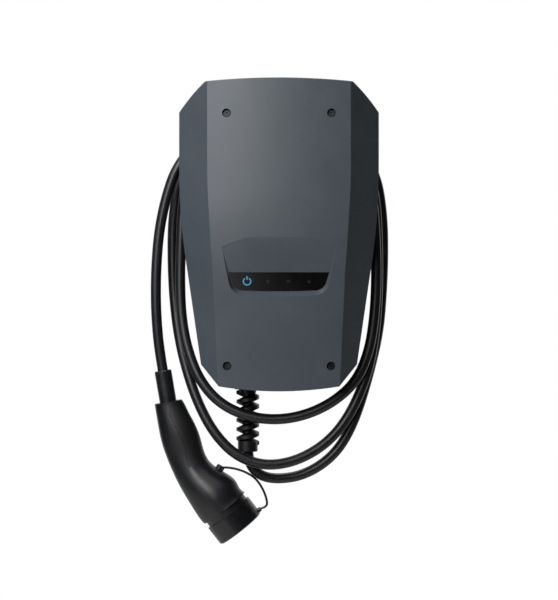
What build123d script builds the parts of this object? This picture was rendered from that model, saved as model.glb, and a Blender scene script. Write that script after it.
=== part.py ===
"""Wall charging station for electric cars, with its cable wound on the housing.

Millimetres. X runs right, Y into the wall and Z up. The origin is the middle
of the wall fixing pattern, on the wall plane, so everything has Y below 0.
"""

import os
from math import atan2, cos, degrees, pi, radians, sin, sqrt, tan

from build123d import *

os.makedirs("parts", exist_ok=True)

# Front cover, seen from the front
COVER_HALF_WIDTH = 127.0
COVER_TOP_Z = 196.0
TOP_SLOPE_W = 34.5
TOP_BOW = 4.0
SHOULDER_Z = 157.5
SHOULDER_BOW = 1.5
SIDE_BEND_Z = 87.5
SIDE_BEND_R = 830.0
SIDE_TAPER = 8.3
SIDE_END_Z = -163.0
BOTTOM_SLOPE_W = 51.0
BOTTOM_CORNER_Z = -190.0
BOTTOM_BOW = 6.0

# Front cover, seen from the side
RIM_Y = 60.0
FACET_Y = 82.0
CREST_Y = 130.0
FACET_ANGLE = 48.6
CROWN_R = 708.0
LEAN_START_Z = 50.0
LEAN_R = 903.0
LEAN_ANGLE = 7.0
WALL = 3.0
EDGE_R = 1.2

# Display pocket and window
POCKET_BOTTOM_Z = -69.0
POCKET_DEPTH = 17.8
POCKET_LEAN = 16.4
POCKET_SIDE = 70.5
POCKET_FLARE = 0.3
POCKET_BOW = 1.7
POCKET_CORNER_R = 15.0
POCKET_HEIGHT = 75.0
POCKET_REACH = 14.0
POCKET_SIDE_SPREAD = 7.0
POCKET_LIP_SPREAD = 4.5
POCKET_BELOW = 30.0
BLEND_DEEP = 4.0
BLEND_HEIGHT = 47.0
BLEND_POWER = 1.5
BLEND_STEPS = 6
BLEND_OUT = 0.15
WINDOW_HEIGHT = 24.2
WINDOW_T = 2.0
WINDOW_RIM = 0.6
WINDOW_LEDGE = 4.0
SYMBOL_T = 0.5
SYMBOL_Y = 11.7
MARK_COUNT = 4
MARK_SIDE_LEFT = 16.5
MARK_SIDE_RIGHT = 18.6
POWER_SYMBOL_R = 4.6
SYMBOL_LINE = 1.6
STATUS_R = 2.2

# Cover screws
SCREW_SIDE = 61.6
SCREW_TOP_Z = 152.0
SCREW_BOTTOM_Z = -164.0
SCREW_HOLE_R = 5.5
SCREW_SINK = 10.0
SCREW_R = 2.5
SCREW_HEAD_R = 4.2
SCREW_HEAD_H = 3.5
SCREW_KEY_R = 1.6
SCREW_KEY_DEPTH = 2.0
SCREW_GRIP = 10.0
SCREW_PLAY = 0.1
COVER_BOSS_R = 8.0
BOSS_LENGTH = 20.5
PILLAR_R = 7.0

# Rear housing: a neck that the cable is wound on, and a flange behind the cover
CHANNEL_DEPTH = 14.0
NECK_CENTRE_Z = 40.0
NECK_TAPER = 8.5
NECK_BOTTOM_Z = -182.0
NECK_CORNER_R = 22.0
FLANGE_T = 4.0
BACK_RELIEF = 5.0
BACK_RIM = 6.0
RIB_T = 2.5
RIB_PITCH = 52.0
RIB_COLUMNS = 4
RIB_ROWS = 6
UPSTAND_INSET = 8.6
UPSTAND_T = 2.0
UPSTAND_H = 8.0
GASKET_W = 5.0
GASKET_T = 3.0
GAP = 0.3

# Wall fixing
FIX_SIDE = 43.0
FIX_RISE = 3.0
FIX_HOLE_R = 3.25
FIX_BOSS_R = 9.0

# Cable and gland
CABLE_D = 13.5
CABLE_CLEARANCE = 0.3
GLAND_FROM_SCREW = 24.7
GLAND_Y = -30.0
GLAND_R = 12.4
GLAND_STUB = 16.0
GLAND_HEX = 33.0
GLAND_HEX_T = 6.0
GLAND_BOSS = 7.5
LOCKNUT_T = 5.0
SEAL_R = 9.9
SEAL_H = 6.5
NUT_END_Z = -197.0
NUT_NECK_R = 11.0
SPIRAL_TOP_Z = -202.0
SPIRAL_R = 15.0
SPIRAL_PITCH = 12.0
SPIRAL_BASE = 10.8
SPIRAL_FLAT = 4.1
SPIRAL_TURNS = 5.5
SPIRAL_MIDDLE_R = 11.0
SPIRAL_START_Z = -267.4
COLLAR_R = 13.0
COLLAR_TOP_Z = -264.3
COLLAR_END_Z = -278.2
COLLAR_CHAMFER = 1.0
CABLE_START_Z = -263.0

# Supply entry, in the back between four ribs
SUPPLY_X = 0.0
SUPPLY_HOLE_R = 12.5
SUPPLY_BORE_R = 6.5
GROMMET_LIP_R = 16.0
GROMMET_LIP_T = 3.5

# Inside the housing
BOARD_Y = 26.0
BOARD_T = 1.6
BOARD_W = 116.0
BOARD_BOTTOM_Z = -55.0
BOARD_FROM_FIX = 10.0
BOARD_EDGE = 5.0
POST_R = 3.5
SMALL_SCREW_R = 1.4
SMALL_HEAD_R = 2.8
SMALL_HEAD_H = 1.8
SMALL_SCREW_GRIP = 8.0
RELAY_W = 30.0
RELAY_DEPTH = 24.0
RELAY_H = 26.0
RELAY_CORNER_R = 1.5
RELAY_X = 20.0
RELAY_DOWN = 30.0
SENSOR_W = 46.0
SENSOR_DEPTH = 30.0
SENSOR_H = 20.0
SENSOR_HOLE_R = 8.5
SENSOR_Z = 20.0
TERMINAL_PITCH = 9.0
TERMINAL_COUNT = 5
TERMINAL_DEPTH = 18.0
TERMINAL_H = 22.0
TERMINAL_HOLE_R = 2.4
TERMINAL_SCREW_R = 2.0
TERMINAL_EDGE = 4.0
TERMINAL_HOLE_DEPTH = 7.0
SUPPLY_TERMINAL_X = 26.0
OUTPUT_TERMINAL_X = -26.0
CLAMP_Z = -158.0
CLAMP_W = 34.0
CLAMP_H = 12.0
CLAMP_T = 11.0
CLAMP_SCREW_X = 12.5
CLAMP_SCREW_R = 1.9
CLAMP_HEAD_R = 3.5
CLAMP_SCREW_GRIP = 10.0
CLAMP_CORNER_R = 2.0
TAIL_END_Z = -140.0
WIRE_R = 1.5
WIRE_RING_R = 4.2
WIRE_ANGLES = (18, 90, 162, 234, 306)
WIRE_LEAD = 15.0
WIRE_BEND_R = 8.0
DISPLAY_BOARD_SIDE = 4.5
DISPLAY_BOARD_H = 32.0
DISPLAY_MIDDLE = 12.3
DISPLAY_POST_H = 4.0
DISPLAY_POST_R = 3.0
DISPLAY_POST_EDGE = 8.0
DISPLAY_POST_LOW = 0.2
DISPLAY_POST_HIGH = 24.4

# Connector on the cable's far end
PLUG_Y = -46.0
SLEEVE_R = 11.0
SLEEVE_LENGTH = 41.0
SLEEVE_BORE = 10.0
SLEEVE_CHAMFER = 1.0
HEAD_R = 32.7
HEAD_TILT = 38.0
HEAD_X = 73.0
HEAD_Z = -137.1
SEAM = 0.3
NOSE_R = 30.0
NOSE_WALL = 3.0
NOSE_SHOWN = 7.6
NOSE_COVERED = 20.0
CARRIER_RECESS = 2.0
CARRIER_T = 14.0
CAP_LENGTH = 26.5
CAP_CHAMFER = 1.5
PIN_CIRCLE_R = 16.0
POWER_ANGLES = (0, 180, 240, 300)
SIGNAL_ANGLES = (65, 115)
POWER_PIN_R = 3.1
SIGNAL_PIN_R = 1.6
SOCKET_WALL = 0.8
SOCKET_DEPTH = 12.0
CLIP_R = 5.5
CLIP_H = 7.0
CLIP_X = 67.1
CLIP_Z = -85.6
CLIP_TILT = 57.7
CLIP_CHAMFER = 1.0
TETHER_D = 3.0
TETHER_RISE = 1.5
LUG_R = 3.0
LUG_H = 6.3

# Sections of the connector's grip below its top: place, tilt, width and depth
GRIP_TOP_W = 35.3
GRIP_TOP_D = 33.0
GRIP = [
    (7.0, -21.3, 16.0, 42.7, 37.0),
    (16.9, -50.6, 18.0, 49.5, 41.0),
    (25.4, -75.6, 21.0, 47.5, 43.0),
    (36.4, -94.1, 26.5, 51.6, 50.0),
    (51.0, -109.2, 28.5, 61.9, 60.0),
    (62.7, -124.8, 35.0, 65.2, 65.0),
    (HEAD_X, HEAD_Z, HEAD_TILT, 2 * HEAD_R, 2 * HEAD_R),
]

# The seam and the outer corners of the grip cover, and the cap's tether, from the grip's top
PATCH_SEAM = [(4.1, 2.0), (2.6, -12.5), (5.0, -20.7), (16.6, -41.4), (20.7, -49.7), (24.1, -66.1), (28.1, -82.7)]
PATCH_CORNERS = [(62.0, -66.5), (62.0, 20.0), (4.1, 20.0)]
TETHER = [(80.3, -85.6), (99.7, -90.8), (112.7, -98.6), (121.7, -114.1), (126.9, -127.0), (126.6, -134.3)]

GLAND_X = GLAND_FROM_SCREW - (COVER_HALF_WIDTH - SCREW_SIDE)

# The cable's route: out of the gland, three turns round the neck and down to the connector
ROUTE = [
    (GLAND_X, GLAND_Y, CABLE_START_Z),
    (GLAND_X, GLAND_Y, -287),
    (-33, -30, -303),
    (-19, -29, -312),
    (1, -27, -314.5),
    (29, -25, -310.5),
    (57, -23, -296),
    (79, -21, -275),
    (96, -19, -245),
    (109, -17, -209),
    (122, -16, -162),
    (131, -16, -120),
    (135, -16, -74),
    (137, -16, -22),
    (136, -16, 30),
    (128, -16, 82),
    (104, -16, 120),
    (60, -16, 152),
    (0, -16, 167),
    (-60, -16, 152),
    (-104, -16, 120),
    (-130, -16, 81),
    (-139, -16, 30),
    (-140, -16, -22),
    (-138, -16, -74),
    (-132, -22, -124),
    (-121, -30, -171),
    (-105, -38, -216),
    (-84, -44, -254),
    (-56, -47.5, -282.5),
    (-20, -48, -295.5),
    (18, -45, -291),
    (54, -40, -273),
    (81, -36, -247),
    (102, -33, -211),
    (118, -31, -167),
    (126, -31, -117),
    (129, -31, -65),
    (129, -31, -13),
    (127, -31, 38),
    (119, -31, 84),
    (97, -31, 122),
    (57, -31, 151),
    (0, -31, 167),
    (-57, -31, 151),
    (-98, -31, 122),
    (-119, -31, 84),
    (-126, -31, 40),
    (-128, -31, -10),
    (-129, -31, -59),
    (-127, -33, -104),
    (-119, -39, -145),
    (-103, -46, -185),
    (-77, -51, -214.5),
    (-41, -54, -231.5),
    (-1, -54, -236),
    (38, -53, -228.5),
    (73, -50, -211),
    (101, -47, -185),
    (117, -46, -146),
    (124, -46, -99),
    (126, -46, -50),
    (125, -46, 1),
    (121, -46, 51),
    (112, -46, 91),
    (91, -46, 125),
    (54, -46, 152),
    (0, -46, 166.5),
    (-57, -46, 153),
    (-103, -46, 126),
    (-133, -46, 91),
    (-147, -46, 49),
    (-155.5, -46, 6),
    (-159, -46, -40),
    (-159.5, -46, -80),
    (-158, -46, -113),
    (-154.8, -46, -145.8),
    (-148.6, -46, -182.1),
]
BEND_SHARE = 0.45

FORWARD = (0, -1, 0)
BEYOND = 60.0

# Worked out from the sizes above
TOP_CORNER_X = COVER_HALF_WIDTH - TOP_SLOPE_W
BOTTOM_CORNER_X = COVER_HALF_WIDTH - BOTTOM_SLOPE_W
SCREW_X = COVER_HALF_WIDTH - SCREW_SIDE
POCKET_HALF_WIDTH = COVER_HALF_WIDTH - POCKET_SIDE
POCKET_FLOOR_Y = CREST_Y - POCKET_DEPTH
POWER_SYMBOL_X = MARK_SIDE_LEFT - POCKET_HALF_WIDTH
MARK_PITCH = (POCKET_HALF_WIDTH - MARK_SIDE_RIGHT - POWER_SYMBOL_X) / (MARK_COUNT - 1)
NECK_R = COVER_HALF_WIDTH - CHANNEL_DEPTH
FIX_X = 2 * (NECK_R - FIX_SIDE)
FIX_Z = 2 * (NECK_R - FIX_RISE)
SUPPLY_Z = -2 * RIB_PITCH
BOARD_TOP_Z = FIX_Z / 2 - BOARD_FROM_FIX
RELAY_Z = BOARD_TOP_Z - RELAY_DOWN
DISPLAY_BOARD_W = 2 * (POCKET_HALF_WIDTH - DISPLAY_BOARD_SIDE)
DISPLAY_POST_X = DISPLAY_BOARD_W / 2 - DISPLAY_POST_EDGE
BOARD_Z = (BOARD_BOTTOM_Z + BOARD_TOP_Z) / 2
BOARD_FRONT_Y = BOARD_Y + BOARD_T
FLOOR_Y = BACK_RELIEF + WALL
GASKET_FRONT_Y = RIM_Y + FLANGE_T + GASKET_T
CABLE_R = CABLE_D / 2
CABLE_BORE_R = CABLE_R + CABLE_CLEARANCE
GLAND_HEX_Z = NECK_BOTTOM_Z - GLAND_HEX_T
GLAND_FOOT_Z = GLAND_HEX_Z - GLAND_BOSS
TERMINAL_BASE_Z = BOARD_BOTTOM_Z + TERMINAL_EDGE
TERMINAL_HOLE_Y = -BOARD_FRONT_Y - TERMINAL_HOLE_DEPTH
NOSE_LENGTH = NOSE_SHOWN + NOSE_COVERED
SCREW_PLACES = [(side * SCREW_X, z) for side in (-1, 1) for z in (SCREW_TOP_Z, SCREW_BOTTOM_Z)]
BOARD_POSTS = [
    (side * (BOARD_W / 2 - BOARD_EDGE), z)
    for side in (-1, 1)
    for z in (BOARD_BOTTOM_Z + BOARD_EDGE, BOARD_TOP_Z - BOARD_EDGE)
]
DISPLAY_POSTS = [
    (side * DISPLAY_POST_X, height) for side in (-1, 1) for height in (DISPLAY_POST_LOW, DISPLAY_POST_HIGH)
]
STATUS_PLACES = [(POWER_SYMBOL_X + place * MARK_PITCH, SYMBOL_Y) for place in range(1, MARK_COUNT)]
CLAMP_SCREWS = [(GLAND_X + side * CLAMP_SCREW_X, CLAMP_Z) for side in (-1, 1)]
POWER_PLACES = [(0, 0)] + [
    (PIN_CIRCLE_R * cos(radians(angle)), PIN_CIRCLE_R * sin(radians(angle))) for angle in POWER_ANGLES
]
SIGNAL_PLACES = [
    (PIN_CIRCLE_R * cos(radians(angle)), PIN_CIRCLE_R * sin(radians(angle))) for angle in SIGNAL_ANGLES
]


def finish(builder, name):
    """Labels a finished piece and writes its STEP file."""
    builder.part.label = name
    export_step(builder.part, f"parts/{name}.step")


def is_crease(edge):
    """Whether an edge of the front is a real crease, not where two faces run on smoothly."""
    level = abs((edge @ 0).Z - (edge @ 1).Z) < 1
    return not level or edge.center().Z > SHOULDER_Z or edge.center().Z < SIDE_END_Z


def lean(z):
    """How far the front stands back at a height, from its foremost line."""
    drop = LEAN_START_Z - z
    if drop <= 0:
        return 0.0
    bend = LEAN_R * sin(radians(LEAN_ANGLE))
    if drop <= bend:
        return LEAN_R - sqrt(LEAN_R**2 - drop**2)
    return LEAN_R * (1 - cos(radians(LEAN_ANGLE))) + (drop - bend) * tan(radians(LEAN_ANGLE))


def front_y(x, z):
    """The depth of the crowned front at a place."""
    return CREST_Y - lean(z) - (CROWN_R - sqrt(CROWN_R**2 - x**2))


def seat_y(x, z):
    """The depth at which a cover screw's head sits, at the foot of its sunk hole."""
    return front_y(x, z) - SCREW_SINK


def boss_end_y(x, z):
    """The depth at which the cover's boss for a screw ends, on the housing's pillar."""
    return seat_y(x, z) - BOSS_LENGTH


def side_line(half_width, side, low_z):
    """One side seen from the front: straight, a long bend and a straight taper down to low_z."""
    turn = radians(SIDE_TAPER)
    bend_x = half_width - SIDE_BEND_R * (1 - cos(turn))
    bend_z = SIDE_BEND_Z - SIDE_BEND_R * sin(turn)
    knee_z = SIDE_BEND_Z - SIDE_BEND_R * tan(turn / 2)
    low = (side * (bend_x - (bend_z - low_z) * tan(turn)), low_z)
    bend = Bezier((side * half_width, SIDE_BEND_Z), (side * half_width, knee_z), (side * bend_x, bend_z))
    taper = Line(bend @ 1, low)
    return bend, taper


def inset_corner(before, here, after, inset):
    """A corner of an outline that runs clockwise, moved in by inset from both of its sides."""
    first = (Vector(*here) - Vector(*before)).normalized()
    second = (Vector(*after) - Vector(*here)).normalized()
    inward = Vector(first.Y + second.Y, -first.X - second.X)
    moved = Vector(*here) + inward * (inset / (1 + first.dot(second)))
    return moved.X, moved.Y


def cover_outline(inset):
    """The cover's outline seen from the front, drawn in by inset."""
    turn = radians(SIDE_TAPER)
    top_corner = (TOP_CORNER_X, COVER_TOP_Z - TOP_BOW)
    shoulder = (COVER_HALF_WIDTH, SHOULDER_Z)
    knee = (COVER_HALF_WIDTH, SIDE_BEND_Z - SIDE_BEND_R * tan(turn / 2))
    side_end = (knee[0] - (knee[1] - SIDE_END_Z) * tan(turn), SIDE_END_Z)
    bottom_corner = (BOTTOM_CORNER_X, BOTTOM_CORNER_Z)
    chain = [(-TOP_CORNER_X, top_corner[1]), top_corner, shoulder, knee, side_end, bottom_corner]
    chain.append((-BOTTOM_CORNER_X, BOTTOM_CORNER_Z))
    corners = [inset_corner(*three, inset) for three in zip(chain, chain[1:], chain[2:])]
    (top_x, top_z), (shoulder_x, shoulder_z), (knee_x, knee_z), (end_x, end_z), (low_x, low_z) = corners
    reach = SIDE_BEND_R * tan(turn / 2)
    bulge = SHOULDER_BOW * cos(radians(45))
    with BuildSketch() as outline:
        with BuildLine():
            for side in (-1, 1):
                bend_top = (side * knee_x, knee_z + reach)
                bend_low = (side * (knee_x - reach * sin(turn)), knee_z - reach * cos(turn))
                middle = (side * ((shoulder_x + top_x) / 2 + bulge), (shoulder_z + top_z) / 2 + bulge)
                ThreePointArc((side * top_x, top_z), middle, (side * shoulder_x, shoulder_z))
                Line((side * shoulder_x, shoulder_z), bend_top)
                Bezier(bend_top, (side * knee_x, knee_z), bend_low)
                Polyline(bend_low, (side * end_x, end_z), (side * low_x, low_z))
            ThreePointArc((-top_x, top_z), (0, COVER_TOP_Z - inset), (top_x, top_z))
            ThreePointArc((-low_x, low_z), (0, BOTTOM_CORNER_Z - BOTTOM_BOW + inset), (low_x, low_z))
        make_face()
    return outline.sketch


def cover_form(inset):
    """The cover as a solid block: outline, crowned and leaning front, slanted side facets."""
    high, low = COVER_TOP_Z + BEYOND, BOTTOM_CORNER_Z - BEYOND
    with BuildPart() as form:
        with BuildSketch(Plane.XZ.offset(RIM_Y)):
            add(cover_outline(inset))
        extrude(amount=CREST_Y - RIM_Y + BEYOND / 2, dir=FORWARD)
        # The front is crowned by turning it about an upright axis far behind the wall
        middle_y = CROWN_R - CREST_Y
        crest = middle_y + CROWN_R - inset
        bend_z = LEAN_START_Z - LEAN_R * sin(radians(LEAN_ANGLE))
        half_z = LEAN_START_Z - LEAN_R * sin(radians(LEAN_ANGLE / 2))
        bend_end = (crest - lean(bend_z), bend_z)
        with BuildSketch(Plane.YZ):
            with BuildLine():
                Polyline((middle_y, high), (crest, high), (crest, LEAN_START_Z))
                ThreePointArc((crest, LEAN_START_Z), (crest - lean(half_z), half_z), bend_end)
                Polyline(bend_end, (crest - lean(low), low), (middle_y, low), (middle_y, high))
            make_face()
        revolve(axis=Axis((0, middle_y, 0), (0, 0, 1)), mode=Mode.INTERSECT)
        # Each side facet takes off all that lies outside a slanted side line
        half_width = COVER_HALF_WIDTH - inset / sin(radians(FACET_ANGLE))
        slope = radians(FACET_ANGLE)
        for side in (-1, 1):
            with BuildSketch(Plane.XZ.offset(FACET_Y)):
                with BuildLine():
                    bend, taper = side_line(half_width, side, low)
                    far = side * (COVER_HALF_WIDTH + 2 * BEYOND)
                    Polyline(bend @ 0, (side * half_width, high), (far, high), (far, low), taper @ 1)
                make_face()
            extrude(amount=2 * BEYOND, dir=(-side * cos(slope), -sin(slope), 0), mode=Mode.SUBTRACT)
    return form.part


POCKET_PLANE = Plane(
    origin=(0, -POCKET_FLOOR_Y, POCKET_BOTTOM_Z),
    x_dir=(1, 0, 0),
    z_dir=(0, -cos(radians(POCKET_LEAN)), -sin(radians(POCKET_LEAN))),
)


def pocket_outline(height, side_spread, lip_spread, corner):
    """The pocket seen square to its floor: a bowed lower edge and sides that open upwards."""
    half = POCKET_HALF_WIDTH + side_spread - POCKET_FLARE * lip_spread
    top = POCKET_HALF_WIDTH + side_spread + POCKET_FLARE * height
    with BuildSketch() as outline:
        with BuildLine():
            ThreePointArc((-half, -lip_spread), (0, -lip_spread - POCKET_BOW), (half, -lip_spread))
            Polyline((half, -lip_spread), (top, height), (-top, height), (-half, -lip_spread))
        make_face()
        fillet(outline.vertices().sort_by(Axis.Y)[:2], corner)
    return outline.sketch


def pocket_walls(grow):
    """The space between the pocket's side walls, which spread towards the front."""
    with BuildPart() as walls:
        for level in (-BLEND_DEEP - grow, POCKET_REACH):
            share = level / POCKET_REACH
            side = share * POCKET_SIDE_SPREAD + grow
            with BuildSketch(POCKET_PLANE.offset(level)):
                add(pocket_outline(POCKET_HEIGHT, side, share * POCKET_LIP_SPREAD + grow, POCKET_CORNER_R + side))
        loft()
    return walls.part


def pocket_form(grow):
    """The space of the display pocket, or with grow the block that its walls are cut from."""
    reach = POCKET_HALF_WIDTH + POCKET_HEIGHT / 2
    far = -CREST_Y - BEYOND
    window_top = POCKET_PLANE.origin + POCKET_PLANE.y_dir * WINDOW_HEIGHT
    window_low = POCKET_PLANE.origin - POCKET_PLANE.y_dir * POCKET_BELOW
    depth = front_y(0, window_top.Z) + window_top.Y
    with BuildPart() as form:
        # The flat floor, as far up as the window goes
        with BuildSketch(Plane.YZ):
            with BuildLine():
                Polyline(
                    (window_low.Y + grow, window_low.Z),
                    (window_top.Y + grow, window_top.Z),
                    (far, window_top.Z),
                    (far, window_low.Z),
                    close=True,
                )
            make_face()
        extrude(amount=reach, both=True)
        # Above it the hollow grows shallower and takes on the front's crown, until it has run out
        for step in range(BLEND_STEPS + 1):
            rise = step / BLEND_STEPS
            z = window_top.Z + BLEND_HEIGHT * rise
            left = (1 - rise) ** BLEND_POWER
            middle = -front_y(0, z) + depth * left + grow - BLEND_OUT * rise
            crown = (front_y(0, z) - front_y(reach, z)) * (1 - left)
            with BuildSketch(Plane.XY.offset(z)):
                with BuildLine():
                    floor = Bezier((-reach, middle + crown), (0, middle - crown), (reach, middle + crown))
                    Polyline(floor @ 1, (reach, far), (-reach, far), floor @ 0)
                make_face()
        loft()
        add(pocket_walls(grow), mode=Mode.INTERSECT)
    return form.part


DISPLAY_BOARD_PLANE = POCKET_PLANE.offset(-WALL - DISPLAY_POST_H)


def power_symbol():
    """A ring that is open at the top, with an upright bar in the opening."""
    with BuildSketch() as symbol:
        with Locations((POWER_SYMBOL_X, SYMBOL_Y)):
            Circle(POWER_SYMBOL_R + SYMBOL_LINE / 2)
            Circle(POWER_SYMBOL_R - SYMBOL_LINE / 2, mode=Mode.SUBTRACT)
        with Locations((POWER_SYMBOL_X, SYMBOL_Y + POWER_SYMBOL_R)):
            Rectangle(3 * SYMBOL_LINE, POWER_SYMBOL_R, mode=Mode.SUBTRACT)
            Rectangle(SYMBOL_LINE, POWER_SYMBOL_R)
    return symbol.sketch


def neck_outline(inset):
    """The housing's neck seen from the front: a round top, tapered sides and rounded lower corners."""
    turn = radians(NECK_TAPER)
    side_x, side_z = NECK_R * cos(turn), NECK_CENTRE_Z - NECK_R * sin(turn)
    foot_x = side_x - (side_z - NECK_BOTTOM_Z) * tan(turn)
    with BuildSketch() as outline:
        with BuildLine():
            ThreePointArc((side_x, side_z), (0, NECK_CENTRE_Z + NECK_R), (-side_x, side_z))
            Polyline((-side_x, side_z), (-foot_x, NECK_BOTTOM_Z), (foot_x, NECK_BOTTOM_Z), (side_x, side_z))
        make_face()
        fillet(outline.vertices().sort_by(Axis.Y)[:2], NECK_CORNER_R)
        if inset:
            offset(amount=-inset, kind=Kind.INTERSECTION, mode=Mode.REPLACE)
    return outline.sketch


# The connector follows on from the cable's last straight run
CABLE_END = Vector(*ROUTE[-1])
CABLE_WAY = (CABLE_END - Vector(*ROUTE[-2])).normalized()
SLEEVE_PLANE = Plane(origin=CABLE_END - CABLE_WAY * SLEEVE_BORE, z_dir=CABLE_WAY)
GRIP_TOP = CABLE_END + CABLE_WAY * (SLEEVE_LENGTH - SLEEVE_BORE)
GRIP_SECTIONS = [(0, 0, degrees(atan2(CABLE_WAY.X, -CABLE_WAY.Z)), GRIP_TOP_W, GRIP_TOP_D), *GRIP]


def plug_point(across, down):
    """A place in the connector's middle plane, from the grip's top."""
    return Vector(GRIP_TOP.X + across, GRIP_TOP.Y, GRIP_TOP.Z + down)


def plug_plane(across, down, tilt):
    """A plane square to the connector's middle line, which leans by tilt from straight down."""
    turn = radians(tilt)
    return Plane(
        origin=plug_point(across, down), x_dir=(cos(turn), 0, sin(turn)), z_dir=(sin(turn), 0, -cos(turn))
    )


def cover_patch(seam_gap):
    """The grip cover seen from the side, or with seam_gap the room that its neighbour leaves it."""
    seam = [plug_point(across - seam_gap, down - seam_gap) for across, down in PATCH_SEAM]
    corners = [plug_point(across, down - seam_gap) for across, down in PATCH_CORNERS]
    with BuildSketch() as patch:
        with BuildLine():
            line = Spline(*[(place.X, place.Z) for place in seam])
            Polyline(line @ 1, *[(place.X, place.Z) for place in corners], line @ 0)
        make_face()
    return patch.sketch


HEAD_PLANE = plug_plane(HEAD_X, HEAD_Z, HEAD_TILT)
CARRIER_PLANE = HEAD_PLANE.offset(NOSE_LENGTH - CARRIER_RECESS)
CLIP_WAY = Vector(cos(radians(CLIP_TILT)), 0, sin(radians(CLIP_TILT)))
CLIP_PLANE = Plane(origin=plug_point(CLIP_X, CLIP_Z) - CLIP_WAY * CLIP_H / 2, z_dir=CLIP_WAY)
LUG_PLANE = Plane(
    origin=HEAD_PLANE.origin
    + HEAD_PLANE.z_dir * (NOSE_SHOWN + CAP_LENGTH - CAP_CHAMFER - LUG_R)
    + HEAD_PLANE.x_dir * (HEAD_R - LUG_R),
    z_dir=HEAD_PLANE.x_dir,
)
TETHER_START = plug_point(CLIP_X, CLIP_Z) + CLIP_WAY * TETHER_RISE
TETHER_END = LUG_PLANE.origin + LUG_PLANE.z_dir * LUG_H

outer_form = cover_form(0)
inner_form = cover_form(WALL)
pocket = pocket_form(0)
pocket_block = pocket_form(WALL)

with BuildPart() as cavity:
    add(inner_form)
    add(pocket_block, mode=Mode.SUBTRACT)

with BuildPart() as front_cover:
    add(outer_form)
    creases = front_cover.edges().filter_by(lambda edge: edge.center().Y < -FACET_Y - 1)
    fillet(creases.filter_by(is_crease), EDGE_R)
    add(cavity.part, mode=Mode.SUBTRACT)
    # A ledge all round presses on the gasket
    with BuildSketch(Plane.XZ.offset(GASKET_FRONT_Y)):
        add(cover_outline(WALL / 2))
        add(cover_outline(WALL + GASKET_W), mode=Mode.SUBTRACT)
    extrude(amount=WALL)
    # Bosses for the cover screws
    for x, z in SCREW_PLACES:
        with BuildSketch(Plane.XZ.offset(boss_end_y(x, z))):
            with Locations((x, z)):
                Circle(COVER_BOSS_R)
        extrude(amount=front_y(x, z) - boss_end_y(x, z) - WALL / 2)
    add(pocket, mode=Mode.SUBTRACT)
    for x, z in SCREW_PLACES:
        with BuildSketch(Plane.XZ.offset(seat_y(x, z))):
            with Locations((x, z)):
                Circle(SCREW_HOLE_R)
        extrude(amount=2 * SCREW_SINK, mode=Mode.SUBTRACT)
        with BuildSketch(Plane.XZ.offset(boss_end_y(x, z))):
            with Locations((x, z)):
                Circle(SCREW_R + GAP)
        extrude(amount=BOSS_LENGTH + SCREW_SINK, mode=Mode.SUBTRACT)
    # The window's seat and the opening behind it
    with BuildSketch(POCKET_PLANE):
        add(pocket_outline(WINDOW_HEIGHT, 0, 0, POCKET_CORNER_R))
        offset(amount=-WINDOW_RIM, kind=Kind.INTERSECTION, mode=Mode.REPLACE)
    extrude(amount=-WINDOW_T - GAP / 2, mode=Mode.SUBTRACT)
    with BuildSketch(POCKET_PLANE):
        add(pocket_outline(WINDOW_HEIGHT, 0, 0, POCKET_CORNER_R))
        offset(amount=-WINDOW_RIM - WINDOW_LEDGE, kind=Kind.INTERSECTION, mode=Mode.REPLACE)
    extrude(amount=-2 * WALL, mode=Mode.SUBTRACT)
    # Posts for the display board
    with BuildSketch(POCKET_PLANE.offset(-WALL + GAP)):
        with Locations(*DISPLAY_POSTS):
            Circle(DISPLAY_POST_R)
    extrude(amount=-DISPLAY_POST_H - GAP)
    with BuildSketch(POCKET_PLANE.offset(-WALL - DISPLAY_POST_H)):
        with Locations(*DISPLAY_POSTS):
            Circle(SMALL_SCREW_R + SCREW_PLAY)
    extrude(amount=DISPLAY_POST_H, mode=Mode.SUBTRACT)
finish(front_cover, "front_cover")

with BuildPart() as display_window:
    with BuildSketch(POCKET_PLANE):
        add(pocket_outline(WINDOW_HEIGHT, 0, 0, POCKET_CORNER_R))
        offset(amount=-WINDOW_RIM - GAP / 2, kind=Kind.INTERSECTION, mode=Mode.REPLACE)
    extrude(amount=-WINDOW_T)
    with BuildSketch(POCKET_PLANE):
        add(power_symbol())
        with Locations(*STATUS_PLACES):
            Circle(STATUS_R)
    extrude(amount=-SYMBOL_T, mode=Mode.SUBTRACT)
finish(display_window, "display_window")

with BuildPart() as power_light:
    with BuildSketch(POCKET_PLANE):
        add(power_symbol())
    extrude(amount=-SYMBOL_T)
finish(power_light, "power_light")

with BuildPart() as status_lights:
    with BuildSketch(POCKET_PLANE):
        with Locations(*STATUS_PLACES):
            Circle(STATUS_R)
    extrude(amount=-SYMBOL_T)
finish(status_lights, "status_lights")

with BuildPart() as display_board:
    with BuildSketch(DISPLAY_BOARD_PLANE):
        with Locations((0, DISPLAY_MIDDLE)):
            Rectangle(DISPLAY_BOARD_W, DISPLAY_BOARD_H)
        with Locations(*DISPLAY_POSTS):
            Circle(SMALL_SCREW_R + GAP, mode=Mode.SUBTRACT)
    extrude(amount=-BOARD_T)
    # One light for each mark in the window
    with BuildSketch(DISPLAY_BOARD_PLANE):
        with Locations((POWER_SYMBOL_X, SYMBOL_Y), *STATUS_PLACES):
            Circle(STATUS_R)
    extrude(amount=DISPLAY_POST_H + WALL - WINDOW_T - 1)
finish(display_board, "display_board")

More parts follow.
